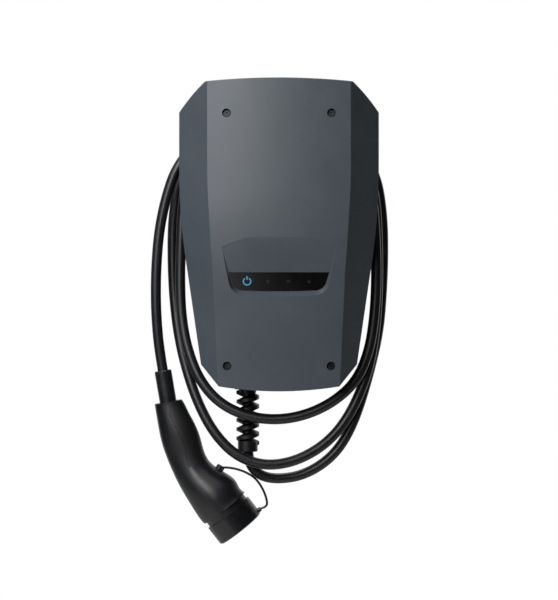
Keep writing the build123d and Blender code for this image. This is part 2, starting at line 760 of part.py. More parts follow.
with BuildPart() as display_screws:
    with BuildSketch(DISPLAY_BOARD_PLANE.offset(-BOARD_T)):
        with Locations(*DISPLAY_POSTS):
            Circle(SMALL_HEAD_R)
    extrude(amount=-SMALL_HEAD_H)
    with BuildSketch(DISPLAY_BOARD_PLANE.offset(-BOARD_T)):
        with Locations(*DISPLAY_POSTS):
            Circle(SMALL_SCREW_R)
    extrude(amount=BOARD_T + DISPLAY_POST_H - GAP)
finish(display_screws, "display_screws")

with BuildPart() as cover_gasket:
    with BuildSketch(Plane.XZ.offset(RIM_Y + FLANGE_T)):
        add(cover_outline(WALL + GAP))
        add(cover_outline(WALL + GASKET_W), mode=Mode.SUBTRACT)
    extrude(amount=GASKET_T)
finish(cover_gasket, "cover_gasket")

with BuildPart() as cover_screws:
    for x, z in SCREW_PLACES:
        with BuildSketch(Plane.XZ.offset(seat_y(x, z))):
            with Locations((x, z)):
                Circle(SCREW_HEAD_R)
        extrude(amount=SCREW_HEAD_H)
        with BuildSketch(Plane.XZ.offset(boss_end_y(x, z) - SCREW_GRIP)):
            with Locations((x, z)):
                Circle(SCREW_R)
        extrude(amount=BOSS_LENGTH + SCREW_GRIP)
        with BuildSketch(Plane.XZ.offset(seat_y(x, z) + SCREW_HEAD_H)):
            with Locations((x, z)):
                RegularPolygon(SCREW_KEY_R, 6)
        extrude(amount=-SCREW_KEY_DEPTH, mode=Mode.SUBTRACT)
finish(cover_screws, "cover_screws")

with BuildPart() as rear_housing:
    with BuildSketch(Plane.XZ):
        add(neck_outline(0))
    extrude(amount=RIM_Y)
    with BuildSketch(Plane.XZ.offset(FLOOR_Y)):
        add(neck_outline(WALL))
    extrude(amount=RIM_Y, mode=Mode.SUBTRACT)
    # The back is recessed between ribs and the bosses round the fixing holes
    with BuildSketch(Plane.XZ):
        add(neck_outline(BACK_RIM))
        with GridLocations(RIB_PITCH, 0, RIB_COLUMNS, 1):
            Rectangle(RIB_T, 2 * COVER_TOP_Z, mode=Mode.SUBTRACT)
        with GridLocations(0, RIB_PITCH, 1, RIB_ROWS):
            Rectangle(2 * COVER_HALF_WIDTH, RIB_T, mode=Mode.SUBTRACT)
        with GridLocations(FIX_X, FIX_Z, 2, 2):
            Circle(FIX_BOSS_R, mode=Mode.SUBTRACT)
    extrude(amount=BACK_RELIEF, mode=Mode.SUBTRACT)
    with BuildSketch(Plane.XZ):
        with GridLocations(FIX_X, FIX_Z, 2, 2):
            Circle(FIX_HOLE_R)
    extrude(amount=FLOOR_Y + WALL, mode=Mode.SUBTRACT)
    # Pillars for the lower cover screws
    for x, z in SCREW_PLACES:
        if z < 0:
            with BuildSketch(Plane.XZ.offset(BACK_RELIEF)):
                with Locations((x, z)):
                    Circle(PILLAR_R)
            extrude(amount=boss_end_y(x, z) - GAP - BACK_RELIEF)
            with BuildSketch(Plane.XZ.offset(boss_end_y(x, z))):
                with Locations((x, z)):
                    Circle(SCREW_R + SCREW_PLAY)
            extrude(amount=-SCREW_GRIP - GAP, mode=Mode.SUBTRACT)
    # Posts for the main board
    with BuildSketch(Plane.XZ.offset(BACK_RELIEF)):
        with Locations(*BOARD_POSTS):
            Circle(POST_R)
    extrude(amount=BOARD_Y - BACK_RELIEF)
    with BuildSketch(Plane.XZ.offset(BOARD_Y)):
        with Locations(*BOARD_POSTS):
            Circle(SMALL_SCREW_R + SCREW_PLAY)
    extrude(amount=-SMALL_SCREW_GRIP - GAP, mode=Mode.SUBTRACT)
    # Saddle for the cable clamp
    with BuildSketch(Plane.XZ.offset(BACK_RELIEF)):
        with Locations((GLAND_X, CLAMP_Z)):
            Rectangle(CLAMP_W, CLAMP_H)
    extrude(amount=-GLAND_Y - BACK_RELIEF)
    with BuildSketch(Plane.XY.offset(CLAMP_Z - CLAMP_H)):
        with Locations((GLAND_X, GLAND_Y)):
            Circle(CABLE_R + SCREW_PLAY)
    extrude(amount=2 * CLAMP_H, mode=Mode.SUBTRACT)
    with BuildSketch(Plane.XZ.offset(-GLAND_Y)):
        with Locations(*CLAMP_SCREWS):
            Circle(CLAMP_SCREW_R + SCREW_PLAY)
    extrude(amount=-CLAMP_SCREW_GRIP - GAP, mode=Mode.SUBTRACT)
    # Holes for the gland and the supply grommet
    with BuildSketch(Plane.XY.offset(NECK_BOTTOM_Z - WALL)):
        with Locations((GLAND_X, GLAND_Y)):
            Circle(GLAND_R + GAP)
    extrude(amount=3 * WALL, mode=Mode.SUBTRACT)
    with BuildSketch(Plane.XZ):
        with Locations((SUPPLY_X, SUPPLY_Z)):
            Circle(SUPPLY_HOLE_R)
    extrude(amount=FLOOR_Y + WALL, mode=Mode.SUBTRACT)
finish(rear_housing, "rear_housing")

# The flange closes the cover from behind and keeps the wound cable on the neck
with BuildPart() as cover_flange:
    with BuildSketch(Plane.XZ.offset(RIM_Y)):
        add(cover_outline(WALL + GAP))
        add(neck_outline(WALL), mode=Mode.SUBTRACT)
    extrude(amount=FLANGE_T)
    # An upstand keeps water from the gasket's inner side
    with BuildSketch(Plane.XZ.offset(RIM_Y + FLANGE_T)):
        add(cover_outline(UPSTAND_INSET))
        add(cover_outline(UPSTAND_INSET + UPSTAND_T), mode=Mode.SUBTRACT)
    extrude(amount=UPSTAND_H)
    # Pillars for the upper cover screws
    for x, z in SCREW_PLACES:
        if z > 0:
            with BuildSketch(Plane.XZ.offset(RIM_Y)):
                with Locations((x, z)):
                    Circle(PILLAR_R)
            extrude(amount=boss_end_y(x, z) - GAP - RIM_Y)
            with BuildSketch(Plane.XZ.offset(boss_end_y(x, z))):
                with Locations((x, z)):
                    Circle(SCREW_R + SCREW_PLAY)
            extrude(amount=-SCREW_GRIP - GAP, mode=Mode.SUBTRACT)
finish(cover_flange, "cover_flange")

with BuildPart() as main_board:
    with BuildSketch(Plane.XZ.offset(BOARD_Y)):
        with Locations((0, BOARD_Z)):
            Rectangle(BOARD_W, BOARD_TOP_Z - BOARD_BOTTOM_Z)
        with Locations(*BOARD_POSTS):
            Circle(SMALL_SCREW_R + GAP, mode=Mode.SUBTRACT)
    extrude(amount=BOARD_T)
finish(main_board, "main_board")

with BuildPart() as board_screws:
    with BuildSketch(Plane.XZ.offset(BOARD_FRONT_Y)):
        with Locations(*BOARD_POSTS):
            Circle(SMALL_HEAD_R)
    extrude(amount=SMALL_HEAD_H)
    with BuildSketch(Plane.XZ.offset(BOARD_FRONT_Y)):
        with Locations(*BOARD_POSTS):
            Circle(SMALL_SCREW_R)
    extrude(amount=-BOARD_T - SMALL_SCREW_GRIP)
finish(board_screws, "board_screws")

with BuildPart() as power_relays:
    with BuildSketch(Plane.XZ.offset(BOARD_FRONT_Y)):
        with Locations((-RELAY_X, RELAY_Z), (RELAY_X, RELAY_Z)):
            RectangleRounded(RELAY_W, RELAY_H, RELAY_CORNER_R)
    extrude(amount=RELAY_DEPTH)
finish(power_relays, "power_relays")

with BuildPart() as fault_current_sensor:
    with BuildSketch(Plane.XZ.offset(BOARD_FRONT_Y)):
        with Locations((0, SENSOR_Z)):
            Rectangle(SENSOR_W, SENSOR_H)
    extrude(amount=SENSOR_DEPTH)
    with BuildSketch(Plane.XY.offset(SENSOR_Z - SENSOR_H)):
        with Locations((0, -BOARD_FRONT_Y - SENSOR_DEPTH / 2)):
            Circle(SENSOR_HOLE_R)
    extrude(amount=2 * SENSOR_H, mode=Mode.SUBTRACT)
finish(fault_current_sensor, "fault_current_sensor")

for middle_x, name in ((SUPPLY_TERMINAL_X, "supply_terminals"), (OUTPUT_TERMINAL_X, "output_terminals")):
    with BuildPart() as terminals:
        with BuildSketch(Plane.XZ.offset(BOARD_FRONT_Y)):
            with Locations((middle_x, TERMINAL_BASE_Z + TERMINAL_H / 2)):
                Rectangle(TERMINAL_COUNT * TERMINAL_PITCH, TERMINAL_H)
        extrude(amount=TERMINAL_DEPTH)
        with BuildSketch(Plane.XY.offset(TERMINAL_BASE_Z)):
            with Locations((middle_x, TERMINAL_HOLE_Y)):
                with GridLocations(TERMINAL_PITCH, 0, TERMINAL_COUNT, 1):
                    Circle(TERMINAL_HOLE_R)
        extrude(amount=TERMINAL_H / 2, mode=Mode.SUBTRACT)
        with BuildSketch(Plane.XZ.offset(BOARD_FRONT_Y + TERMINAL_DEPTH)):
            with Locations((middle_x, TERMINAL_BASE_Z + TERMINAL_H * 0.7)):
                with GridLocations(TERMINAL_PITCH, 0, TERMINAL_COUNT, 1):
                    Circle(TERMINAL_SCREW_R)
        extrude(amount=-TERMINAL_SCREW_R, mode=Mode.SUBTRACT)
    finish(terminals, name)

with BuildPart() as cable_tail:
    with BuildSketch(Plane.XY.offset(CABLE_START_Z)):
        with Locations((GLAND_X, GLAND_Y)):
            Circle(CABLE_R)
    extrude(amount=TAIL_END_Z - CABLE_START_Z)
finish(cable_tail, "cable_tail")

# The conductors fan out of the cable's end, sorted so that none crosses another
with BuildPart() as output_conductors:
    ring = sorted(
        (WIRE_RING_R * cos(radians(angle)), WIRE_RING_R * sin(radians(angle))) for angle in WIRE_ANGLES
    )
    for index, (ring_x, ring_y) in enumerate(ring):
        start_x, start_y = GLAND_X + ring_x, GLAND_Y + ring_y
        end_x = OUTPUT_TERMINAL_X + (index - (TERMINAL_COUNT - 1) / 2) * TERMINAL_PITCH
        with BuildLine() as wire:
            FilletPolyline(
                (start_x, start_y, TAIL_END_Z),
                (start_x, start_y, TAIL_END_Z + WIRE_LEAD),
                (end_x, TERMINAL_HOLE_Y, TERMINAL_BASE_Z - WIRE_LEAD),
                (end_x, TERMINAL_HOLE_Y, TERMINAL_BASE_Z + TERMINAL_H / 3),
                radius=WIRE_BEND_R,
            )
        with BuildSketch(Plane(origin=wire.line @ 0, z_dir=wire.line % 0)):
            Circle(WIRE_R)
        sweep(path=wire.line)
finish(output_conductors, "output_conductors")

with BuildPart() as cable_clamp:
    with BuildSketch(Plane.XZ.offset(-GLAND_Y)):
        with Locations((GLAND_X, CLAMP_Z)):
            Rectangle(CLAMP_W, CLAMP_H)
        with Locations(*CLAMP_SCREWS):
            Circle(CLAMP_SCREW_R + GAP, mode=Mode.SUBTRACT)
    extrude(amount=CLAMP_T)
    fillet(cable_clamp.edges().group_by(Axis.Y)[0].filter_by(Axis.Z), CLAMP_CORNER_R)
    with BuildSketch(Plane.XY.offset(CLAMP_Z - CLAMP_H)):
        with Locations((GLAND_X, GLAND_Y)):
            Circle(CABLE_R + SCREW_PLAY)
    extrude(amount=2 * CLAMP_H, mode=Mode.SUBTRACT)
finish(cable_clamp, "cable_clamp")

with BuildPart() as clamp_screws:
    with BuildSketch(Plane.XZ.offset(CLAMP_T - GLAND_Y)):
        with Locations(*CLAMP_SCREWS):
            Circle(CLAMP_HEAD_R)
    extrude(amount=SMALL_HEAD_H)
    with BuildSketch(Plane.XZ.offset(CLAMP_T - GLAND_Y)):
        with Locations(*CLAMP_SCREWS):
            Circle(CLAMP_SCREW_R)
    extrude(amount=-CLAMP_T - CLAMP_SCREW_GRIP)
finish(clamp_screws, "clamp_screws")

# The supply cable comes out of the wall through this grommet, whose outer lip lies in the back's recess
with BuildPart() as supply_grommet:
    with BuildSketch(Plane.XZ.offset(BACK_RELIEF)):
        with Locations((SUPPLY_X, SUPPLY_Z)):
            Circle(GROMMET_LIP_R)
    extrude(amount=-GROMMET_LIP_T)
    with BuildSketch(Plane.XZ.offset(BACK_RELIEF)):
        with Locations((SUPPLY_X, SUPPLY_Z)):
            Circle(SUPPLY_HOLE_R - SCREW_PLAY)
    extrude(amount=WALL)
    with BuildSketch(Plane.XZ.offset(FLOOR_Y)):
        with Locations((SUPPLY_X, SUPPLY_Z)):
            Circle(SUPPLY_HOLE_R + GROMMET_LIP_T / 2)
    extrude(amount=GROMMET_LIP_T / 2)
    with BuildSketch(Plane.XZ):
        with Locations((SUPPLY_X, SUPPLY_Z)):
            Circle(SUPPLY_BORE_R)
    extrude(amount=FLOOR_Y + GROMMET_LIP_T, mode=Mode.SUBTRACT)
finish(supply_grommet, "supply_grommet")

# The gland passes through the lower wall and is held by a locknut inside
with BuildPart() as gland_body:
    with BuildSketch(Plane.XY.offset(GLAND_HEX_Z)):
        with Locations((GLAND_X, GLAND_Y)):
            RegularPolygon(GLAND_HEX / 2, 6, major_radius=False, rotation=30)
    extrude(amount=GLAND_HEX_T)
    with BuildSketch(Plane.XY.offset(GLAND_FOOT_Z)):
        with Locations((GLAND_X, GLAND_Y)):
            Circle(GLAND_R)
    extrude(amount=NECK_BOTTOM_Z + GLAND_STUB - GLAND_FOOT_Z)
    with BuildSketch(Plane.XY.offset(GLAND_FOOT_Z)):
        with Locations((GLAND_X, GLAND_Y)):
            Circle(CABLE_BORE_R)
    extrude(amount=NECK_BOTTOM_Z + GLAND_STUB - GLAND_FOOT_Z, mode=Mode.SUBTRACT)
    with BuildSketch(Plane.XY.offset(GLAND_FOOT_Z)):
        with Locations((GLAND_X, GLAND_Y)):
            Circle(SEAL_R + SCREW_PLAY)
    extrude(amount=SEAL_H, mode=Mode.SUBTRACT)
finish(gland_body, "gland_body")

with BuildPart() as gland_seal:
    with BuildSketch(Plane.XY.offset(GLAND_FOOT_Z)):
        with Locations((GLAND_X, GLAND_Y)):
            Circle(SEAL_R)
            Circle(CABLE_R + SCREW_PLAY, mode=Mode.SUBTRACT)
    extrude(amount=SEAL_H)
finish(gland_seal, "gland_seal")

with BuildPart() as gland_locknut:
    with BuildSketch(Plane.XY.offset(NECK_BOTTOM_Z + WALL)):
        with Locations((GLAND_X, GLAND_Y)):
            RegularPolygon(GLAND_HEX / 2 - SCREW_PLAY, 6, major_radius=False, rotation=30)
            Circle(GLAND_R + SCREW_PLAY, mode=Mode.SUBTRACT)
    extrude(amount=LOCKNUT_T)
finish(gland_locknut, "gland_locknut")

# Bend protector: the gland's nut, a flight that winds round the cable, and a collar at its end
with BuildPart() as bend_protector:
    with BuildSketch(Plane.XY.offset(NUT_END_Z)):
        with Locations((GLAND_X, GLAND_Y)):
            RegularPolygon(GLAND_HEX / 2, 6, major_radius=False, rotation=30)
    extrude(amount=GLAND_HEX_Z - GAP - NUT_END_Z)
    with BuildSketch(Plane.XY.offset(SPIRAL_TOP_Z)):
        with Locations((GLAND_X, GLAND_Y)):
            Circle(NUT_NECK_R)
    extrude(amount=NUT_END_Z - SPIRAL_TOP_Z)
    with BuildSketch(Plane.XY.offset(COLLAR_END_Z)):
        with Locations((GLAND_X, GLAND_Y)):
            Circle(COLLAR_R)
    extrude(amount=COLLAR_TOP_Z - COLLAR_END_Z)
    chamfer(bend_protector.edges().filter_by(GeomType.CIRCLE).group_by(Axis.Z)[0], COLLAR_CHAMFER)
    with BuildLine() as flight:
        Helix(
            pitch=SPIRAL_PITCH,
            height=SPIRAL_PITCH * SPIRAL_TURNS,
            radius=SPIRAL_MIDDLE_R,
            center=(GLAND_X, GLAND_Y, SPIRAL_START_Z),
        )
    root_x = CABLE_BORE_R - SPIRAL_MIDDLE_R
    tip_x = SPIRAL_R - SPIRAL_MIDDLE_R
    with BuildSketch(Plane(origin=flight.line @ 0, x_dir=(1, 0, 0), z_dir=(0, -1, 0))):
        with BuildLine():
            Polyline(
                (root_x, -SPIRAL_BASE / 2),
                (tip_x, -SPIRAL_FLAT / 2),
                (tip_x, SPIRAL_FLAT / 2),
                (root_x, SPIRAL_BASE / 2),
                close=True,
            )
        make_face()
    sweep(path=flight.line, is_frenet=True)
    with BuildSketch(Plane.XY.offset(COLLAR_END_Z)):
        with Locations((GLAND_X, GLAND_Y)):
            Circle(CABLE_BORE_R)
    extrude(amount=GLAND_HEX_Z - COLLAR_END_Z, mode=Mode.SUBTRACT)
    with BuildSketch(Plane.XY.offset(GLAND_FOOT_Z - GAP)):
        with Locations((GLAND_X, GLAND_Y)):
            Circle(GLAND_R + SCREW_PLAY)
    extrude(amount=GLAND_HEX_Z - GLAND_FOOT_Z, mode=Mode.SUBTRACT)
finish(bend_protector, "bend_protector")

# The cable runs straight between tangent arcs, each about as wide as its runs allow
places = [Vector(*place) for place in ROUTE]
bend_radii = []
for before, here, after in zip(places, places[1:], places[2:]):
    turn = (here - before).get_angle(after - here)
    shorter = min((here - before).length, (after - here).length)
    bend_radii.append(BEND_SHARE * shorter / tan(radians(turn / 2)))

with BuildPart() as charge_cable:
    with BuildLine() as run:
        FilletPolyline(*ROUTE, radius=bend_radii)
    with BuildSketch(Plane(origin=run.line @ 0, z_dir=run.line % 0)):
        Circle(CABLE_R)
    sweep(path=run.line)
finish(charge_cable, "charge_cable")
cable_length = sum(edge.length for edge in run.edges())
print("cable bend radii:", [round(radius) for radius in bend_radii])
print("cable length:", round(cable_length))
print("tube volume against section by length:", charge_cable.part.volume / (pi * CABLE_R**2 * cable_length))

with BuildPart() as cable_sleeve:
    with BuildSketch(SLEEVE_PLANE):
        Circle(SLEEVE_R)
    extrude(amount=SLEEVE_LENGTH)
    chamfer(cable_sleeve.faces().sort_by(Axis.Z)[-1].edges(), SLEEVE_CHAMFER)
    with BuildSketch(SLEEVE_PLANE):
        Circle(CABLE_BORE_R)
    extrude(amount=SLEEVE_BORE, mode=Mode.SUBTRACT)
finish(cable_sleeve, "cable_sleeve")

# The grip's outer form runs through sections square to its bent middle line
with BuildPart() as grip_form:
    for across, down, tilt, width, depth in GRIP_SECTIONS:
        with BuildSketch(plug_plane(across, down, tilt)):
            Ellipse(width / 2, depth / 2)
    loft()

with BuildPart() as grip_cover:
    add(grip_form.part)
    with BuildSketch(Plane.XZ.offset(-PLUG_Y)):
        add(cover_patch(0))
    extrude(amount=2 * HEAD_R, both=True, mode=Mode.INTERSECT)
finish(grip_cover, "grip_cover")

with BuildPart() as connector_housing:
    add(grip_form.part)
    with BuildSketch(Plane.XZ.offset(-PLUG_Y)):
        add(cover_patch(SEAM))
    extrude(amount=2 * HEAD_R, both=True, mode=Mode.SUBTRACT)
    with BuildSketch(CLIP_PLANE):
        Circle(CLIP_R + SCREW_PLAY)
    extrude(amount=2 * CLIP_H, mode=Mode.SUBTRACT)
finish(connector_housing, "connector_housing")

with BuildPart() as connector_nose:
    with BuildSketch(HEAD_PLANE):
        Circle(NOSE_R)
    extrude(amount=NOSE_LENGTH)
    with BuildSketch(HEAD_PLANE.offset(NOSE_LENGTH)):
        Circle(NOSE_R - NOSE_WALL)
    extrude(amount=-CARRIER_RECESS - CARRIER_T, mode=Mode.SUBTRACT)
finish(connector_nose, "connector_nose")

with BuildPart() as pin_carrier:
    with BuildSketch(CARRIER_PLANE):
        Circle(NOSE_R - NOSE_WALL - SCREW_PLAY)
    extrude(amount=-CARRIER_T)
    with BuildSketch(CARRIER_PLANE):
        with Locations(*POWER_PLACES):
            Circle(POWER_PIN_R)
        with Locations(*SIGNAL_PLACES):
            Circle(SIGNAL_PIN_R)
    extrude(amount=-SOCKET_DEPTH, mode=Mode.SUBTRACT)
finish(pin_carrier, "pin_carrier")

with BuildPart() as contact_sockets:
    with BuildSketch(CARRIER_PLANE.offset(-SOCKET_DEPTH)):
        with Locations(*POWER_PLACES):
            Circle(POWER_PIN_R - SCREW_PLAY)
            Circle(POWER_PIN_R - SCREW_PLAY - SOCKET_WALL, mode=Mode.SUBTRACT)
        with Locations(*SIGNAL_PLACES):
            Circle(SIGNAL_PIN_R - SCREW_PLAY)
            Circle(SIGNAL_PIN_R - SCREW_PLAY - SOCKET_WALL, mode=Mode.SUBTRACT)
    extrude(amount=SOCKET_DEPTH - CARRIER_RECESS)
finish(contact_sockets, "contact_sockets")

with BuildPart() as protective_cap:
    with BuildSketch(HEAD_PLANE.offset(NOSE_SHOWN)):
        Circle(HEAD_R)
    extrude(amount=CAP_LENGTH)
    cap_axis = Axis(HEAD_PLANE.origin, HEAD_PLANE.z_dir)
    chamfer(protective_cap.faces().sort_by(cap_axis)[-1].edges(), CAP_CHAMFER)
    with BuildSketch(LUG_PLANE):
        Circle(LUG_R)
    extrude(amount=LUG_H)
    with BuildSketch(HEAD_PLANE.offset(NOSE_SHOWN)):
        Circle(NOSE_R + GAP)
    extrude(amount=NOSE_COVERED + GAP, mode=Mode.SUBTRACT)
finish(protective_cap, "protective_cap")

with BuildPart() as tether_clip:
    with BuildSketch(CLIP_PLANE):
        Circle(CLIP_R)
    extrude(amount=CLIP_H)
    clip_axis = Axis(CLIP_PLANE.origin, CLIP_PLANE.z_dir)
    chamfer(tether_clip.faces().sort_by(clip_axis)[-1].edges(), CLIP_CHAMFER)
finish(tether_clip, "tether_clip")

with BuildPart() as cap_tether:
    with BuildLine() as strap:
        Spline(
            TETHER_START,
            *[plug_point(*place) for place in TETHER],
            TETHER_END,
            tangents=[(1, 0, 0), -LUG_PLANE.z_dir],
        )
    with BuildSketch(Plane(origin=strap.line @ 0, z_dir=strap.line % 0)):
        Circle(TETHER_D / 2)
    sweep(path=strap.line)
    add(tether_clip.part, mode=Mode.SUBTRACT)
finish(cap_tether, "cap_tether")
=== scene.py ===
"""Looks of the wall charging station: its finishes, cable, tether, studio light and camera."""

from math import radians

import bpy
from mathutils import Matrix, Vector


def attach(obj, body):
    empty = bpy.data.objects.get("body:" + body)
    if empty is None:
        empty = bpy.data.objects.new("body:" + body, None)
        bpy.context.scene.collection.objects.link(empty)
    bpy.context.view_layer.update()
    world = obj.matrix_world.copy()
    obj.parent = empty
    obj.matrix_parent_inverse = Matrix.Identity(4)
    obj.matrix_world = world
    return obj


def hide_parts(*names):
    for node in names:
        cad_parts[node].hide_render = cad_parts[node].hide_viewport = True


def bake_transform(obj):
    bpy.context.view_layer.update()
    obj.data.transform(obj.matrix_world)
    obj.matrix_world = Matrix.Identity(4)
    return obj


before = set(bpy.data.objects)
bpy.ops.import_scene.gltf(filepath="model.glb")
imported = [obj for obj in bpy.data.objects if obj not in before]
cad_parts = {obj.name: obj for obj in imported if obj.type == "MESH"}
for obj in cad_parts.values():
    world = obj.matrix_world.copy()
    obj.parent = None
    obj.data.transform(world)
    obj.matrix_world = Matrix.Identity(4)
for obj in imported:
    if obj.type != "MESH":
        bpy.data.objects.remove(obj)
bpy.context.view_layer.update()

# The camera stands level in front of the station, as far off as the photograph's perspective shows
CAMERA_AT = (0.0, -2.185, -0.081)
FOCAL_MM = 99.2
SENSOR_MM = 36.0

# Every lamp looks at this point, in the middle of the station
LAMPS_AIM_AT = (0.0, -0.06, -0.05)
# The studio's cards are matt black, and one of them grey
CARD_BLACK = "#0a0a0b"
CARD_GREY = "#2c2e31"
FLOOR_Z = -0.9

# Cable, in millimetres: how thick it is and the points that it bends round
CABLE_D = 13.5
ROUTE = [
    (-40.7, -30, -263), (-40.7, -30, -287), (-33, -30, -303), (-19, -29, -312), (1, -27, -314.5),
    (29, -25, -310.5), (57, -23, -296), (79, -21, -275), (96, -19, -245), (109, -17, -209),
    (122, -16, -162), (131, -16, -120), (135, -16, -74), (137, -16, -22), (136, -16, 30),
    (128, -16, 82), (104, -16, 120), (60, -16, 152), (0, -16, 167), (-60, -16, 152),
    (-104, -16, 120), (-130, -16, 81), (-139, -16, 30), (-140, -16, -22), (-138, -16, -74),
    (-132, -22, -124), (-121, -30, -171), (-105, -38, -216), (-84, -44, -254), (-56, -47.5, -282.5),
    (-20, -48, -295.5), (18, -45, -291), (54, -40, -273), (81, -36, -247), (102, -33, -211),
    (118, -31, -167), (126, -31, -117), (129, -31, -65), (129, -31, -13), (127, -31, 38),
    (119, -31, 84), (97, -31, 122), (57, -31, 151), (0, -31, 167), (-57, -31, 151),
    (-98, -31, 122), (-119, -31, 84), (-126, -31, 40), (-128, -31, -10), (-129, -31, -59),
    (-127, -33, -104), (-119, -39, -145), (-103, -46, -185), (-77, -51, -214.5), (-41, -54, -231.5),
    (-1, -54, -236), (38, -53, -228.5), (73, -50, -211), (101, -47, -185), (117, -46, -146),
    (124, -46, -99), (126, -46, -50), (125, -46, 1), (121, -46, 51), (112, -46, 91),
    (91, -46, 125), (54, -46, 152), (0, -46, 166.5), (-57, -46, 153), (-103, -46, 126),
    (-133, -46, 91), (-147, -46, 49), (-155.5, -46, 6), (-159, -46, -40), (-159.5, -46, -80),
    (-158, -46, -113), (-154.8, -46, -145.8), (-148.6, -46, -182.1),
]

# Tether of the protective cap, in millimetres: thickness and points from its clip to the cap's lug
TETHER_D = 3.0
TETHER = [
    (-72.0, -46, -297.6), (-62.0, -46, -297.6), (-44.0, -47, -302.8), (-30.0, -48, -311.4),
    (-20.4, -48, -325.6), (-15.4, -47, -340.0), (-15.6, -46, -348.6), (-24.0, -46, -350.8),
]


def linear(code):
    """An sRGB hex colour as the linear colour that the shaders take."""
    levels = [int(code[i:i + 2], 16) / 255 for i in (1, 3, 5)]
    return [v / 12.92 if v <= 0.04045 else ((v + 0.055) / 1.055) ** 2.4 for v in levels] + [1.0]


def add(tree, kind, settings=None, **inputs):
    """Adds a node with its settings; an input is a value or another node's output socket."""
    node = tree.nodes.new(kind)
    for name, value in (settings or {}).items():
        setattr(node, name, value)
    for name, value in inputs.items():
        socket = node.inputs[int(name[1:])] if name[1:].isdigit() else node.inputs[name.replace("_", " ")]
        if isinstance(value, bpy.types.NodeSocket):
            tree.links.new(value, socket)
        else:
            socket.default_value = value
    return node


def finish(name, colour, worn, roughness, grain_mm, grain_depth_mm, wander=0.06, patch_mm=35.0, **surface):
    """A moulded, cast or plated surface: its colour drifts a little in patches, its grain is raised
    and its gloss wanders. worn is the colour where hands and dust have dulled it."""
    material = bpy.data.materials.new(name)
    material.use_nodes = True
    tree = material.node_tree
    tree.nodes.clear()
    place = add(tree, "ShaderNodeTexCoord").outputs["Object"]
    patches = add(tree, "ShaderNodeTexNoise", Vector=place, Scale=1000 / patch_mm, Detail=4.0, Roughness=0.6)
    grain = add(tree, "ShaderNodeTexNoise", Vector=place, Scale=1000 / grain_mm, Detail=2.0, Roughness=0.5)
    scuffs = add(tree, "ShaderNodeTexNoise", Vector=place, Scale=1000 / (patch_mm / 6), Detail=6.0, Roughness=0.7)
    drift = add(tree, "ShaderNodeMapRange", Value=patches.outputs["Fac"], From_Min=0.35, From_Max=0.75)
    dulled = add(tree, "ShaderNodeMapRange", Value=scuffs.outputs["Fac"], From_Min=0.62, From_Max=0.8, To_Max=0.5)
    amount = add(tree, "ShaderNodeMath", {"operation": "MULTIPLY"}, _0=drift.outputs[0], _1=0.35)
    amount = add(tree, "ShaderNodeMath", {"operation": "ADD", "use_clamp": True}, _0=amount.outputs[0],
                 _1=dulled.outputs[0])
    tint = add(tree, "ShaderNodeMix", {"data_type": "RGBA"}, _0=amount.outputs[0], _6=linear(colour), _7=linear(worn))
    gloss = add(tree, "ShaderNodeMapRange", Value=patches.outputs["Fac"], From_Min=0.3, From_Max=0.7,
                To_Min=roughness - wander, To_Max=roughness + wander)
    relief = add(tree, "ShaderNodeBump", Height=grain.outputs["Fac"], Strength=1.0, Distance=grain_depth_mm / 1000)
    shader = add(tree, "ShaderNodeBsdfPrincipled", Base_Color=tint.outputs[2], Roughness=gloss.outputs[0],
                 Normal=relief.outputs[0], **surface)
    add(tree, "ShaderNodeOutputMaterial", Surface=shader.outputs[0])
    return material


# Grains are 0.1 to 0.5 mm on the real pieces. Here most are 0.6 to 2 mm, so that they show. Colours
# drift over patches of 4 to 60 mm, as on handled plastic

# ABS, injection moulded in a spark-eroded tool: a fine matt grain that spreads the highlight wide
COVER_ABS = finish("moulded_abs_slate", "#495057", "#545c63", 0.4, 0.9, 0.018, 0.03, 60.0, IOR=1.53)
# The housing behind is the same plastic in black, with a duller skin that keeps it in the background
HOUSING_ABS = finish("moulded_abs_black", "#1d1f21", "#2a2c2e", 0.5, 0.9, 0.02, 0.05, 45.0, IOR=1.53)
# Acrylic, smoked and polished: nearly black, with a clear reflection. The 12 mm waves are the moulding's
WINDOW_ACRYLIC = finish("smoked_acrylic", "#040405", "#08090b", 0.14, 12.0, 0.01, 0.02, 50.0, IOR=1.49)
# Polycarbonate marks, flush with the window: one blue, the others unlit and as dark as what is round them
POWER_MARK = finish("polycarbonate_blue", "#55b4e4", "#68c0ec", 0.25, 2.0, 0.004, 0.03, 4.0, IOR=1.58)
STATUS_MARK = finish("polycarbonate_smoke", "#0e0f11", "#131416", 0.25, 2.0, 0.004, 0.03, 4.0, IOR=1.58)
# Polyurethane, extruded over the cores: a satin skin that draws one soft line of light along the cable
CABLE_PUR = finish("extruded_polyurethane", "#15161a", "#1f2124", 0.36, 1.6, 0.03, 0.06, 22.0, IOR=1.5)
# Polyamide with glass fibre, moulded: dry satin black with a fine grain
PLUG_NYLON = finish("moulded_polyamide", "#101114", "#18191d", 0.36, 0.8, 0.02, 0.05, 18.0, IOR=1.53)
# Soft elastomer over the grip: the dullest black, so that the hand's side stands out from the shell
GRIP_TPE = finish("overmoulded_soft_grip", "#08090a", "#101113", 0.5, 1.1, 0.03, 0.05, 16.0, IOR=1.5)
# Denser elastomer of the cap and its tether: smoother, with a brighter sheen
CAP_TPE = finish("moulded_elastomer_cap", "#0f1013", "#18191c", 0.3, 1.0, 0.015, 0.05, 20.0, IOR=1.5)
# Thermoplastic polyurethane of the bend protector: its flight shows by narrow lines of light
SPIRAL_TPU = finish("moulded_thermoplastic_rubber", "#0f1012", "#1a1b1d", 0.38, 1.2, 0.03, 0.06, 14.0, IOR=1.5)
# Foamed and solid rubber seals: dull, dusty black
SEAL_RUBBER = finish("cut_epdm_rubber", "#161616", "#242322", 0.72, 0.7, 0.05, 0.05, 12.0, IOR=1.5)
